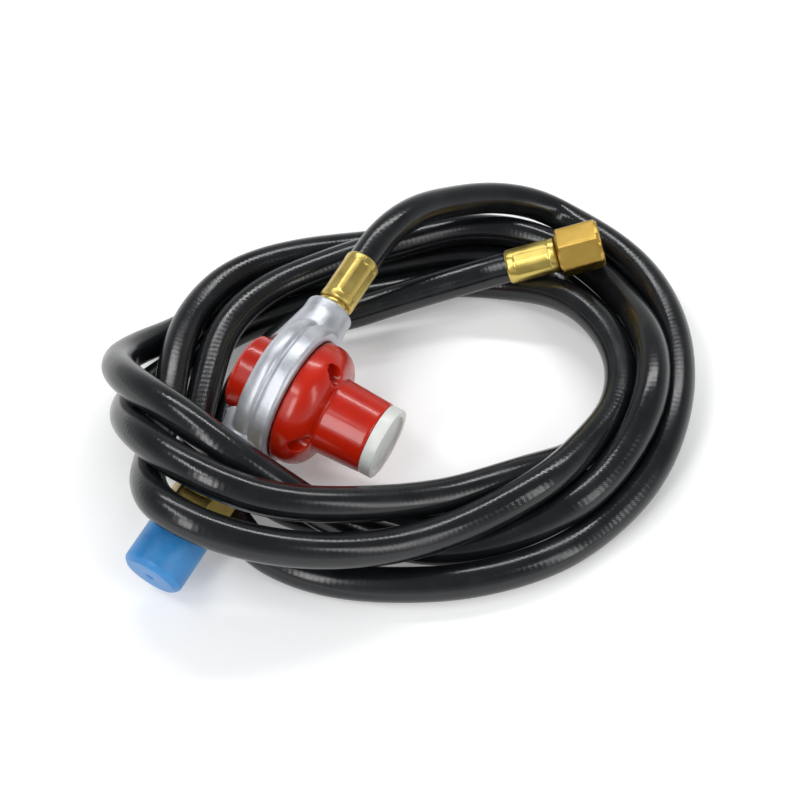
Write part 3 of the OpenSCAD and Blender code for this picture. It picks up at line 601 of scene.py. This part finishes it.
def drawn_route():
    """The route of the whole hose, from the bottom of one sleeve to the bottom of the other."""
    flow = np.array(REGULATOR.to_3x3() @ Vector((0, 1, 0)))
    far = np.array(FAR_END.to_3x3() @ Vector((1, 0, 0)))
    near_exit = flow * (NEAR_FERRULE_START + NEAR_FERRULE_L)
    far_exit = np.array(FAR_PLACE)
    stations = coil_stations()
    quarter = 0.25
    hours = np.arange(stations[0, 0], stations[-1, 0] + 1e-6, quarter)
    coil = np.array([coil_point(stations, h) for h in hours])
    into = (coil[1] - coil[0]) / np.linalg.norm(coil[1] - coil[0])
    onward = (coil[-1] - coil[-2]) / np.linalg.norm(coil[-1] - coil[-2])
    lead = np.array([near_exit + flow * HOSE_D, *LEAD_POINTS,
                     coil[0] - HOSE_D * into, coil[0]], float)
    tail = np.array([coil[-1], coil[-1] + HOSE_D * onward,
                     *TAIL_POINTS, far_exit - far * HOSE_D], float)
    near_end = near_exit - flow * (NEAR_FERRULE_L - FERRULE_END_T)
    far_end = far_exit + far * (FAR_FERRULE_L - FERRULE_END_T)
    return np.concatenate([[near_end, near_exit], smooth_line(lead)[:-1], coil,
                           smooth_line(tail)[1:], [far_exit, far_end]])


def obstacles():
    """Round bodies the hose lies against: origin, axis, first and last place on it, radius."""
    flow = np.array(REGULATOR.to_3x3() @ Vector((0, 1, 0)))
    tower = np.array(REGULATOR.to_3x3() @ Vector((1, 0, 0)))
    far = np.array(FAR_END.to_3x3() @ Vector((1, 0, 0)))
    zero = np.zeros(3)
    middle = flow * TOWER_Y
    return [
        (zero, flow, CAP_START, CAP_START + CAP_L, CAP_R),
        (zero, flow, HEX_START, HEX_START + HEX_L, NUT_FLATS / math.sqrt(3)),
        (zero, flow, *NIPPLE_REACH),
        (zero, flow, *BODY_REACH),
        (middle, tower, *FLANGE_REACH),
        (middle, tower, *COVER_REACH),
        (middle, tower, *DOME_FOOT_REACH),
        (middle, tower, *DOME_TOP_REACH),
        (middle, tower, *TOWER_REACH),
        (np.array(FAR_PLACE), far, FLARE_START, FLARE_START + FLARE_L, FLARE_FLATS / math.sqrt(3)),
    ]


def push_out(points, floor):
    """Move points up from the floor, and away from the axis of each fitting that they lie in."""
    for start, axis, low, high, radius in obstacles():
        offset = points - start
        along = offset @ axis
        out = offset - np.outer(along, axis)
        away = np.linalg.norm(out, axis=1)
        beyond = np.maximum(0, np.maximum(low - along, along - high))
        distance = np.hypot(np.maximum(0, away - radius), beyond)
        short = HOSE_D / 2 + FITTING_GAP - distance
        hit = (short > 0) & (beyond < HOSE_D / 2)
        hit[:SLEEVED_POINTS] = False
        hit[-SLEEVED_POINTS:] = False
        points[hit] += out[hit] / away[hit, None] * short[hit, None]
    points[:, 2] = np.maximum(points[:, 2], floor)


def push_apart(points, clearance):
    """Move stretches of the hose that lie in each other apart, half each."""
    between = points[:, None, :] - points[None, :, :]
    distance = np.linalg.norm(between, axis=2)
    index = np.arange(len(points))
    far_along = np.abs(index[:, None] - index[None, :]) > NEIGHBOURS
    short = np.where(far_along, clearance - distance, 0.0)
    short = np.maximum(short, 0.0)
    deepest = np.maximum(short.max(axis=1), 1e-9)
    weight = short / deepest[:, None]
    away = between / np.maximum(distance, 1e-6)[:, :, None]
    push = (away * (0.5 * short * weight)[:, :, None]).sum(axis=1)
    total = np.maximum(weight.sum(axis=1), 1.0)
    points += push / total[:, None]


def spread(shift):
    """The same shift of points, shared with their neighbours along the hose."""
    weights = np.exp(-0.5 * (np.arange(-SHARE_REACH, SHARE_REACH + 1) / SHARE_WIDTH) ** 2)
    weights /= weights.sum()
    return np.stack([np.convolve(shift[:, k], weights, "same") for k in range(3)], axis=1)


def settle(points, floor):
    """Let the hose find its bends: stiffness rounds them, and contact keeps its turns apart."""
    clearance = math.hypot(HOSE_D + TURN_GAP, SETTLE_SPACING * 0.5)
    drawn = points.copy()
    free = slice(HELD_POINTS, -HELD_POINTS)
    for step in range(SETTLE_ROUNDS):
        if step < STIFF_ROUNDS:
            bend = np.zeros_like(points)
            bend[2:-2] = -(points[4:] - 4 * points[3:-1] + 6 * points[2:-2]
                           - 4 * points[1:-3] + points[:-4])
            points[free] += (BEND_SHARE * bend + PULL_SHARE * (drawn - points))[free]
        before = points.copy()
        push_apart(points, clearance)
        push_out(points, floor)
        if step < SHARED_ROUNDS:
            points[:] = before + PUSH_SHARE * spread(points - before)
        points[:, 2] = np.maximum(points[:, 2], floor)
        points[:HELD_POINTS] = drawn[:HELD_POINTS]
        points[-HELD_POINTS:] = drawn[-HELD_POINTS:]
    return points


def tube(centres, radius, sides):
    """A tube round a line of points, with the UV map 'wrap' in metres round and along it."""
    ahead = np.gradient(centres, axis=0)
    ahead /= np.linalg.norm(ahead, axis=1)[:, None]
    side = np.cross(ahead[0], (0, 0, 1))
    side /= np.linalg.norm(side)
    mesh = bmesh.new()
    wrap = mesh.loops.layers.uv.new("wrap")
    rings = []
    stretches = np.linalg.norm(np.diff(centres, axis=0), axis=1)
    run = np.concatenate([[0.0], np.cumsum(stretches)]) * MM
    for centre, direction in zip(centres, ahead):
        side = side - direction * np.dot(side, direction)
        side /= np.linalg.norm(side)
        up = np.cross(side, direction)
        ring = []
        for k in range(sides):
            a = 2 * math.pi * k / sides
            point = centre + radius * (math.cos(a) * side + math.sin(a) * up)
            ring.append(mesh.verts.new(point * MM))
        rings.append(ring)
    girth = 2 * math.pi * radius * MM
    for i in range(len(rings) - 1):
        for k in range(sides):
            n = (k + 1) % sides
            face = mesh.faces.new((rings[i][k], rings[i + 1][k], rings[i + 1][n], rings[i][n]))
            corners = ((k, i), (k, i + 1), (k + 1, i + 1), (k + 1, i))
            for loop, (around, along) in zip(face.loops, corners):
                loop[wrap].uv = (girth * around / sides, run[along])
    mesh.faces.new(rings[0])
    mesh.faces.new(reversed(rings[-1]))
    bmesh.ops.recalc_face_normals(mesh, faces=mesh.faces)
    result = bpy.data.meshes.new("tube")
    mesh.to_mesh(result)
    mesh.free()
    return result


def make_hose():
    """The whole hose as one tube, settled round the fittings, in place of the CAD hose pieces."""
    floor = cad_box[0].z / MM + HOSE_D / 2
    route = resample(drawn_route(), SETTLE_SPACING)
    route = settle(route, floor)
    line = resample(smooth_line(route, 3), TUBE_SPACING)
    mesh = tube(line, HOSE_D / 2, TUBE_SIDES)
    hose = finish_mesh("hose", mesh, HOSE_RUBBER, "regulator", 80)
    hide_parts("hose_lead", "hose_coil", "hose_tail")


# ---------------------------------------------------------------- inlet

def thread_wave(place):
    """Height from 0 to 1 of a V thread with small flats, at a place in turns."""
    flat = 0.12
    saw = abs((place % 1.0) * 2 - 1)
    return min(1.0, max(0.0, (saw - flat) / (1 - 2 * flat)))


def hex_radius(angle, flats):
    """Radius of a hexagon with corners at 0, 60 and so on degrees, its corners slightly cut."""
    off = angle % (math.pi / 3) - math.pi / 6
    return min(flats / 2 / math.cos(off), flats / math.sqrt(3) - HEX_CORNER_CUT)


def steps(start, end, count):
    """Evenly spaced numbers from start to end, both included."""
    return [start + (end - start) * k / count for k in range(count + 1)]


def make_pol_nut():
    """The inlet nut: thread, relief and hexagon with turned corners."""
    bevel = 1.1
    bevel_in = 1.9
    start = -THREAD_L / 2
    end = THREAD_L / 2
    hex_end = HEX_START + HEX_L
    corner = NUT_FLATS / math.sqrt(3)
    rows = [(NUT_HEAD_BORE_R + 0.1, start), (THREAD_R - bevel, start)]
    rows += [(THREAD_R, z) for z in steps(start + 0.5, end - 0.2, 84)]
    rows += [(NUT_RELIEF_R, end + 0.3), (NUT_RELIEF_R, HEX_START)]
    rows += [(corner - bevel_in, HEX_START + 0.001), (corner, HEX_START + bevel)]
    rows += [(corner, z) for z in steps(HEX_START + 1.6, hex_end - 1.6, 6)]
    rows += [(corner, hex_end - bevel), (corner - bevel_in, hex_end)]
    rows += [(NUT_BORE_R + 0.5, hex_end), (NUT_BORE_R, hex_end - 0.5)]
    rows += [(NUT_BORE_R, start + NUT_HEAD_DEPTH)]
    rows += [(NUT_HEAD_BORE_R, start + NUT_HEAD_DEPTH - 0.001), (NUT_HEAD_BORE_R, start + 0.3)]

    def shape(angle, radius, z):
        if radius == THREAD_R:
            fade = min(1.0, (z - start) / 1.5, (end - z) / 1.2)
            turn = z / THREAD_PITCH - angle / (2 * math.pi)
            return THREAD_R - THREAD_DEPTH * (1 - thread_wave(turn)) * max(0.0, fade), z
        if radius > NUT_RELIEF_R and z > HEX_START:
            return min(radius, hex_radius(angle, NUT_FLATS)), z
        return radius, z

    mesh = turned(rows, along_flow(0), 144, True, shape)
    return dress("pol_nut", mesh, BRASS_NEAR, "inlet_nut", 30)


def make_pol_cap():
    """The push-on cap: a cup with a mark of its mould gate in the middle of its end."""
    end = CAP_L
    floor_t = 0.8
    profile = [(0, 0.45), (1.3, 0.45), (1.7, 0),
               (CAP_R - 1.9, 0), (CAP_R - 0.35, 1.5), (CAP_R, 2.1),
               (CAP_R, end - 0.8), (CAP_R - 0.15, end), (CAP_BORE_R, end),
               (CAP_BORE_R, floor_t), (0, floor_t)]
    mesh = turned(soften(profile, 0.45, 4), along_flow(CAP_START), 128)
    return dress("pol_cap", mesh, BLUE, "cap", 40)


# ---------------------------------------------------------------- sleeves and the flare nut

def sleeve_mesh(length, place):
    """A crimped sleeve: eight faint flats pressed into its middle, rolled at both ends."""
    sunk_r = FERRULE_R - 0.25
    flat_r = FERRULE_R - 0.2
    inner_r = HOSE_D / 2 + 0.05
    roll = 3.6
    flat_angle = math.pi / 4
    profile = [(FERRULE_BORE_R, 0), (FERRULE_R - 0.8, 0), (FERRULE_R, 0.8), (FERRULE_R, 3.2)]
    profile += [(sunk_r, 4.0)]
    profile += [(sunk_r, z) for z in steps(5.0, length - 5.0, 8)]
    profile += [(sunk_r, length - 4.2)]
    profile += [(FERRULE_R, length - 3.2), (FERRULE_R, length - 0.8), (FERRULE_R - 0.5, length)]
    profile += [(inner_r, length), (inner_r, FERRULE_END_T), (FERRULE_BORE_R, FERRULE_END_T)]

    def shape(angle, radius, z):
        if radius > FERRULE_R - 0.6 and roll < z < length - roll:
            off = angle % flat_angle - flat_angle / 2
            return min(radius + 0.25, flat_r / math.cos(off)), z
        return radius, z

    return turned(soften(profile, 0.3, 3, True), place, 128, True, shape)


def make_near_sleeve():
    """The sleeve that holds the hose at the regulator."""
    mesh = sleeve_mesh(NEAR_FERRULE_L, along_flow(NEAR_FERRULE_START))
    return dress("near_ferrule", mesh, BRASS_NEAR, "regulator", 40)


def make_far_sleeve():
    """The sleeve at the far end, with its open end towards the hose."""
    place = along_far(FAR_FERRULE_L) @ Matrix.Rotation(math.pi, 4, "X")
    mesh = sleeve_mesh(FAR_FERRULE_L, place)
    return dress("far_ferrule", mesh, BRASS_FAR_SLEEVE, "regulator", 40)


def make_flare_nut():
    """The swivel nut: hexagon with turned corners, and a threaded bore."""
    bevel = 1.0
    bevel_in = 1.7
    end = FLARE_START + FLARE_L
    corner = FLARE_FLATS / math.sqrt(3)
    thread_end = end - 0.9
    rows = [(SWIVEL_BORE_R + 0.4, FLARE_START)]
    rows += [(corner - bevel_in, FLARE_START), (corner, FLARE_START + bevel)]
    rows += [(corner, z) for z in steps(FLARE_START + 1.5, end - 1.5, 6)]
    rows += [(corner, end - bevel), (corner - bevel_in, end), (FLARE_BORE_R + 0.7, end)]
    rows += [(FLARE_BORE_R, z) for z in steps(thread_end, FLARE_THREAD_START + 0.3, 45)]
    rows += [(FLARE_RELIEF_R, FLARE_THREAD_START), (FLARE_RELIEF_R, FLARE_START + FLARE_WALL),
             (SWIVEL_BORE_R, FLARE_START + FLARE_WALL - 0.001), (SWIVEL_BORE_R, FLARE_START + 0.4)]

    def shape(angle, radius, z):
        if radius == FLARE_BORE_R:
            fade = max(0.0, min(1.0, (thread_end - z) / 1.0 + 0.3))
            turn = z / FLARE_PITCH - angle / (2 * math.pi)
            return FLARE_BORE_R + FLARE_DEPTH * (1 - thread_wave(turn)) * fade, z
        if radius > FLARE_RELIEF_R + 0.1:
            return min(radius, hex_radius(angle, FLARE_FLATS)), z
        return radius, z

    place = along_far(0) @ Matrix.Rotation(FLARE_TURN, 4, "Z")
    mesh = turned(rows, place, 144, True, shape)
    return dress("flare_nut", mesh, BRASS_FAR, "outlet_nut", 30)


# ---------------------------------------------------------------- tower end and screws

def make_closing_cap():
    """The white cap in the tower's mouth, with a raised rim and a hollow plug."""
    plug_bore_r = CLOSER_PLUG_R - 1.5
    face = CLOSER_T - CLOSER_HOLLOW
    rows = [(0, 0.0), (plug_bore_r, 0.0)]
    rows += [(plug_bore_r, -CLOSER_PLUG_L), (CLOSER_PLUG_R, -CLOSER_PLUG_L), (CLOSER_PLUG_R, 0.001)]
    rows += [(CLOSER_R, 0), (CLOSER_R, CLOSER_T), (CLOSER_R - 2.5, CLOSER_T)]
    rows += [(CLOSER_R - 3.1, face), (0, face)]
    mesh = turned(soften(rows, 0.4, 4), along_tower(TOWER_MOUTH), 128)
    return dress("tower_cap", mesh, WHITE, "closing_cap", 40)


def screw_mesh():
    """One bonnet screw on Z: a domed head with a socket over a shank."""
    edge_t = 0.9
    dome = [(SCREW_HEAD_R * math.cos(a), edge_t + (SCREW_HEAD_T - edge_t) * math.sin(a))
            for a in steps(0, math.radians(64), 6)]
    rows = [(0, -SCREW_SHANK_L), (SCREW_SHANK_R, -SCREW_SHANK_L), (SCREW_SHANK_R, 0)]
    rows += [(SCREW_HEAD_R - 0.2, 0), (SCREW_HEAD_R, 0.2)] + dome
    rows += [(SCREW_SOCKET_R, SCREW_HEAD_T), (1.1, SCREW_HEAD_T - 1.0), (0, SCREW_HEAD_T - 1.1)]
    return turned(rows, Matrix.Identity(4), 48)


def ring_of_copies_tree():
    """Geometry Nodes: copies of the mesh round Z, with named inputs for count and radius."""
    tree = bpy.data.node_groups.new("ring_of_copies", "GeometryNodeTree")
    face = tree.interface
    face.new_socket("Geometry", in_out="INPUT", socket_type="NodeSocketGeometry")
    face.new_socket("Count", in_out="INPUT", socket_type="NodeSocketInt")
    face.new_socket("Circle radius", in_out="INPUT", socket_type="NodeSocketFloat")
    face.new_socket("Material", in_out="INPUT", socket_type="NodeSocketMaterial")
    face.new_socket("Geometry", in_out="OUTPUT", socket_type="NodeSocketGeometry")
    source = tree.nodes.new("NodeGroupInput")
    sink = tree.nodes.new("NodeGroupOutput")
    circle = tree.nodes.new("GeometryNodeMeshCircle")
    copies = tree.nodes.new("GeometryNodeInstanceOnPoints")
    real = tree.nodes.new("GeometryNodeRealizeInstances")
    paint = tree.nodes.new("GeometryNodeSetMaterial")
    turn = tree.nodes.new("GeometryNodeTransform")
    half = tree.nodes.new("ShaderNodeMath")
    half.operation = "DIVIDE"
    half.inputs[0].default_value = math.pi
    spin = tree.nodes.new("ShaderNodeCombineXYZ")
    link = tree.links.new
    link(source.outputs["Count"], circle.inputs["Vertices"])
    link(source.outputs["Circle radius"], circle.inputs["Radius"])
    link(source.outputs["Count"], half.inputs[1])
    link(half.outputs["Value"], spin.inputs["Z"])
    link(circle.outputs["Mesh"], turn.inputs["Geometry"])
    link(spin.outputs["Vector"], turn.inputs["Rotation"])
    link(turn.outputs["Geometry"], copies.inputs["Points"])
    link(source.outputs["Geometry"], copies.inputs["Instance"])
    link(copies.outputs["Instances"], real.inputs["Geometry"])
    link(real.outputs["Geometry"], paint.inputs["Geometry"])
    link(source.outputs["Material"], paint.inputs["Material"])
    link(paint.outputs["Geometry"], sink.inputs["Geometry"])
    return tree


def make_screws():
    """The four bonnet screws, copied round the flange."""
    scratch = bpy.data.objects.new("scratch", screw_mesh())
    bpy.context.scene.collection.objects.link(scratch)
    modifier = scratch.modifiers.new("copies", "NODES")
    modifier.node_group = ring_of_copies_tree()
    values = {"Count": SCREW_COUNT, "Circle radius": SCREW_CIRCLE_R * MM, "Material": RED}
    for item in modifier.node_group.interface.items_tree:
        if item.in_out == "INPUT" and item.name in values:
            modifier[item.identifier] = values[item.name]
    mesh = evaluated(scratch)
    bpy.data.objects.remove(scratch)
    # The copies are made in metres round Z; now they are laid on the bonnet
    place = along_tower(FLANGE_FRONT + SCREW_SEAT) @ Matrix.Rotation(SCREW_TURN, 4, "Z")
    turn = place.to_3x3().to_4x4()
    mesh.transform(Matrix.Translation(place.to_translation() * MM) @ turn)
    return dress("bonnet_screws", mesh, RED, "regulator", 40)


# ---------------------------------------------------------------- castings and inner pieces

CAST_VOXEL = 0.45
INNER = {
    "nose_seal": BLACK,
    "inlet_filter": BRASS_NEAR,
    "orifice_seat": BRASS_NEAR,
    "valve_pintle": BRASS_NEAR,
    "valve_pad": BLACK,
    "valve_spring": STEEL,
    "cover_ring": BLACK,
    "diaphragm": BLACK,
    "diaphragm_plate": STEEL,
    "control_spring": STEEL,
    "vent_screen": STEEL,
    "spring_button": ZINC,
    "adjusting_screw": ZINC,
}


def dress_castings():
    """The zinc body and the painted bonnet and cover, with their corners rounded as cast."""
    voxel = CAST_VOXEL
    dress("regulator_body", cast_skin("regulator_body", voxel, 10), ZINC, "regulator", 180)
    dress("bonnet", cast_skin("bonnet", voxel, 8), RED, "regulator", 180)
    cover = cast_skin("valve_cover", voxel * 0.8, 6)
    dress("valve_cover", cover, RED, "regulator", 180)


def dress_turned_fittings():
    """The two turned fittings keep their CAD shape."""
    for name in ("inlet_nipple", "outlet_fitting"):
        dress(name, merged_copy(name), BRASS_NEAR, "regulator", 30)


def paint_inner_nodes():
    """The inner pieces keep their CAD mesh and get a better material."""
    for name, material in INNER.items():
        nodes[name].data.materials.clear()
        nodes[name].data.materials.append(material)


near_sleeve = make_near_sleeve()
far_sleeve = make_far_sleeve()
flare_nut = make_flare_nut()
far_stem = dress("far_insert", merged_copy("far_insert"), BRASS_FAR, "regulator", 30)
make_pol_nut()
make_pol_cap()
make_closing_cap()
make_screws()
make_hose()
dress_castings()
dress_turned_fittings()
paint_inner_nodes()


# ---------------------------------------------------------------- stage

FLOOR_HALF = 6.0
PAPER_LIFT = 0.22
FAR_LIFT = 0.45
FAR_LIFT_START = 0.4
FAR_LIFT_GAIN = 0.4


def make_floor():
    """A pale sheet of paper under the hose."""
    mesh = bpy.data.meshes.new("floor")
    z = cad_box[0].z
    size = FLOOR_HALF
    corners = [(-size, -size, z), (size, -size, z), (size, size, z), (-size, size, z)]
    mesh.from_pydata(corners, [], [(0, 1, 2, 3)])
    floor = bpy.data.objects.new("floor", mesh)
    bpy.context.scene.collection.objects.link(floor)
    s = Shader("floor_paper", (0.93, 0.93, 0.93), 0.9, Specular_IOR_Level=0.1)
    # Seen by the camera, the sheet is lifted to white and keeps its shadow
    path = s.add("ShaderNodeLightPath")
    seen = s.math("MAXIMUM", path.outputs["Is Camera Ray"], path.outputs["Is Glossy Ray"])
    # Far from the object the sheet is lifted more, because the lamps hardly reach it
    reach = s.add("ShaderNodeVectorMath", operation="LENGTH")
    s.link(s.object_coordinates(), reach.inputs[0])
    away = s.math("SUBTRACT", reach.outputs["Value"], FAR_LIFT_START)
    gain = s.math("MULTIPLY", away, FAR_LIFT_GAIN)
    gain = s.math("MINIMUM", s.math("MAXIMUM", gain, 0.0), FAR_LIFT)
    lift = s.math("MULTIPLY", seen, s.math("ADD", gain, PAPER_LIFT))
    s.set("Emission Color", (1, 1, 1, 1))
    s.link(lift, s.principled.inputs["Emission Strength"])
    mesh.materials.append(s.material)


def make_world():
    """A white background, and a pale room that lights the object."""
    world = bpy.data.worlds.new("studio")
    bpy.context.scene.world = world
    world.use_nodes = True
    tree = world.node_tree
    tree.nodes.clear()
    out = tree.nodes.new("ShaderNodeOutputWorld")
    seen = tree.nodes.new("ShaderNodeBackground")
    lit = tree.nodes.new("ShaderNodeBackground")
    mix = tree.nodes.new("ShaderNodeMixShader")
    path = tree.nodes.new("ShaderNodeLightPath")
    where = tree.nodes.new("ShaderNodeTexCoord")
    split = tree.nodes.new("ShaderNodeSeparateXYZ")
    ramp = tree.nodes.new("ShaderNodeValToRGB")
    seen.inputs["Color"].default_value = (1, 1, 1, 1)
    seen.inputs["Strength"].default_value = 1.0
    # A pale room at eye level, darker overhead
    stops = ramp.color_ramp.elements
    stops[0].position = 0.08
    stops[0].color = (0.95, 0.95, 0.95, 1)
    stops[1].position = 0.55
    stops[1].color = (0.30, 0.31, 0.32, 1)
    lit.inputs["Strength"].default_value = 0.8
    link = tree.links.new
    link(where.outputs["Generated"], split.inputs["Vector"])
    link(split.outputs["Z"], ramp.inputs["Fac"])
    link(ramp.outputs["Color"], lit.inputs["Color"])
    link(path.outputs["Is Camera Ray"], mix.inputs["Fac"])
    link(lit.outputs["Background"], mix.inputs[1])
    link(seen.outputs["Background"], mix.inputs[2])
    link(mix.outputs["Shader"], out.inputs["Surface"])


LAMP_TARGET = (0.03, 0.11, 0.0)


def make_lamp(name, place, size, power):
    """A rectangular soft lamp that looks at the middle of the coil."""
    data = bpy.data.lights.new(name, "AREA")
    data.shape = "RECTANGLE"
    data.size, data.size_y = size
    data.energy = power
    lamp = bpy.data.objects.new(name, data)
    lamp.location = place
    bpy.context.scene.collection.objects.link(lamp)
    aim(lamp, LAMP_TARGET)


make_floor()
make_world()
make_lamp("back_softbox", (-0.30, 0.95, 1.40), (1.5, 0.14), 12.0)
make_lamp("window", (-0.02, -0.95, 0.80), (0.24, 0.80), 5.0)
make_lamp("overhead_softbox", (-0.35, -0.45, 1.40), (0.8, 0.2), 5.0)
make_lamp("side_softbox", (1.05, 0.0, 0.60), (0.2, 0.9), 3.0)

bpy.context.scene.view_settings.view_transform = "Standard"
